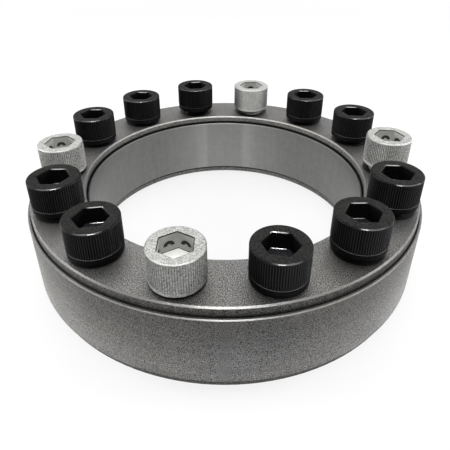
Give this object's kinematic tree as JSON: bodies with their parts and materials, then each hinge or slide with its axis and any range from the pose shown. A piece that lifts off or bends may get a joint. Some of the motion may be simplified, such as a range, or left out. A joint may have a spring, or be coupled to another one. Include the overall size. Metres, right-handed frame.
{
  "type": "keyless locking assembly",
  "caption": "Clamps a hub on a plain shaft: a circle of socket head screws draws two conical rings between a slit inner ring and a slit outer ring.",
  "frame": {"origin": "centre of the flat rear face of the rear thrust ring, which it stands on", "axes": "+Z along the shaft axis towards the screw heads, +X to the right and +Y away when screw heads 1 and 14 are nearest"},
  "size_m": [0.155, 0.155, 0.0478],
  "materials": {
    "blasted_steel": "phosphated matte grey steel",
    "ground_steel": "turned and ground satin grey steel",
    "black_oxide": "oil-black satin screw steel",
    "zinc": "bright zinc plating, matte"
  },
  "bodies": {
    "rear_thrust": {"rear_thrust_ring": "blasted_steel"},
    "outer": {"outer_ring": "blasted_steel"},
    "inner": {"inner_ring": "ground_steel"},
    "front_thrust": {"front_thrust_ring": "blasted_steel"},
    "plated_screw_01_body": {"plated_screw_01": "zinc"},
    "black_screw_01_body": {"black_screw_01": "black_oxide"},
    "black_screw_02_body": {"black_screw_02": "black_oxide"},
    "plated_screw_02_body": {"plated_screw_02": "zinc"},
    "black_screw_03_body": {"black_screw_03": "black_oxide"},
    "black_screw_04_body": {"black_screw_04": "black_oxide"},
    "black_screw_05_body": {"black_screw_05": "black_oxide"},
    "plated_screw_03_body": {"plated_screw_03": "zinc"},
    "black_screw_06_body": {"black_screw_06": "black_oxide"},
    "black_screw_07_body": {"black_screw_07": "black_oxide"},
    "plated_screw_04_body": {"plated_screw_04": "zinc"},
    "black_screw_08_body": {"black_screw_08": "black_oxide"},
    "black_screw_09_body": {"black_screw_09": "black_oxide"},
    "black_screw_10_body": {"black_screw_10": "black_oxide"}
  },
  "joints": [
    {"name": "closing", "type": "slide", "parent": "rear_thrust", "child": "front_thrust", "axis": [0, 0, -1], "range_m": [0, 0.0028]},
    {"name": "outer_ring_follow", "type": "slide", "parent": "rear_thrust", "child": "outer", "axis": [0, 0, -1], "range_m": [0, 0.0014]},
    {"name": "inner_ring_follow", "type": "slide", "parent": "rear_thrust", "child": "inner", "axis": [0, 0, -1], "range_m": [0, 0.0014]},
    {"name": "plated_screw_01_turn", "type": "hinge", "parent": "front_thrust", "child": "plated_screw_01_body", "pos_m": [-0.01376, -0.06475, 0.0334], "axis": [0, 0, -1], "range_deg": [0, 576]},
    {"name": "black_screw_01_turn", "type": "hinge", "parent": "front_thrust", "child": "black_screw_01_body", "pos_m": [-0.0405, -0.05237, 0.0339], "axis": [0, 0, -1], "range_deg": [0, 576]},
    {"name": "black_screw_02_turn", "type": "hinge", "parent": "front_thrust", "child": "black_screw_02_body", "pos_m": [-0.05921, -0.02961, 0.0347], "axis": [0, 0, -1], "range_deg": [0, 576]},
    {"name": "plated_screw_02_turn", "type": "hinge", "parent": "front_thrust", "child": "plated_screw_02_body", "pos_m": [-0.06619, -0.00099, 0.0338], "axis": [0, 0, -1], "range_deg": [0, 576]},
    {"name": "black_screw_03_turn", "type": "hinge", "parent": "front_thrust", "child": "black_screw_03_body", "pos_m": [-0.06007, 0.02783, 0.0341], "axis": [0, 0, -1], "range_deg": [0, 576]},
    {"name": "black_screw_04_turn", "type": "hinge", "parent": "front_thrust", "child": "black_screw_04_body", "pos_m": [-0.04204, 0.05113, 0.0342], "axis": [0, 0, -1], "range_deg": [0, 576]},
    {"name": "black_screw_05_turn", "type": "hinge", "parent": "front_thrust", "child": "black_screw_05_body", "pos_m": [-0.0157, 0.06431, 0.0351], "axis": [0, 0, -1], "range_deg": [0, 576]},
    {"name": "plated_screw_03_turn", "type": "hinge", "parent": "front_thrust", "child": "plated_screw_03_body", "pos_m": [0.01376, 0.06475, 0.035], "axis": [0, 0, -1], "range_deg": [0, 576]},
    {"name": "black_screw_06_turn", "type": "hinge", "parent": "front_thrust", "child": "black_screw_06_body", "pos_m": [0.0405, 0.05237, 0.0344], "axis": [0, 0, -1], "range_deg": [0, 576]},
    {"name": "black_screw_07_turn", "type": "hinge", "parent": "front_thrust", "child": "black_screw_07_body", "pos_m": [0.05921, 0.02961, 0.0346], "axis": [0, 0, -1], "range_deg": [0, 576]},
    {"name": "plated_screw_04_turn", "type": "hinge", "parent": "front_thrust", "child": "plated_screw_04_body", "pos_m": [0.06619, 0.00099, 0.0358], "axis": [0, 0, -1], "range_deg": [0, 576]},
    {"name": "black_screw_08_turn", "type": "hinge", "parent": "front_thrust", "child": "black_screw_08_body", "pos_m": [0.06007, -0.02783, 0.0352], "axis": [0, 0, -1], "range_deg": [0, 576]},
    {"name": "black_screw_09_turn", "type": "hinge", "parent": "front_thrust", "child": "black_screw_09_body", "pos_m": [0.04204, -0.05113, 0.0347], "axis": [0, 0, -1], "range_deg": [0, 576]},
    {"name": "black_screw_10_turn", "type": "hinge", "parent": "front_thrust", "child": "black_screw_10_body", "pos_m": [0.0157, -0.06431, 0.0333], "axis": [0, 0, -1], "range_deg": [0, 576]}
  ],
  "couplings": [
    {"joint": "outer_ring_follow", "follows": "closing", "ratio": 0.5},
    {"joint": "inner_ring_follow", "follows": "closing", "ratio": 0.5},
    {"joint": "plated_screw_01_turn", "follows": "closing", "rad_per_m": 3590.4},
    {"joint": "black_screw_01_turn", "follows": "closing", "rad_per_m": 3590.4},
    {"joint": "black_screw_02_turn", "follows": "closing", "rad_per_m": 3590.4},
    {"joint": "plated_screw_02_turn", "follows": "closing", "rad_per_m": 3590.4},
    {"joint": "black_screw_03_turn", "follows": "closing", "rad_per_m": 3590.4},
    {"joint": "black_screw_04_turn", "follows": "closing", "rad_per_m": 3590.4},
    {"joint": "black_screw_05_turn", "follows": "closing", "rad_per_m": 3590.4},
    {"joint": "plated_screw_03_turn", "follows": "closing", "rad_per_m": 3590.4},
    {"joint": "black_screw_06_turn", "follows": "closing", "rad_per_m": 3590.4},
    {"joint": "black_screw_07_turn", "follows": "closing", "rad_per_m": 3590.4},
    {"joint": "plated_screw_04_turn", "follows": "closing", "rad_per_m": 3590.4},
    {"joint": "black_screw_08_turn", "follows": "closing", "rad_per_m": 3590.4},
    {"joint": "black_screw_09_turn", "follows": "closing", "rad_per_m": 3590.4},
    {"joint": "black_screw_10_turn", "follows": "closing", "rad_per_m": 3590.4}
  ]
}
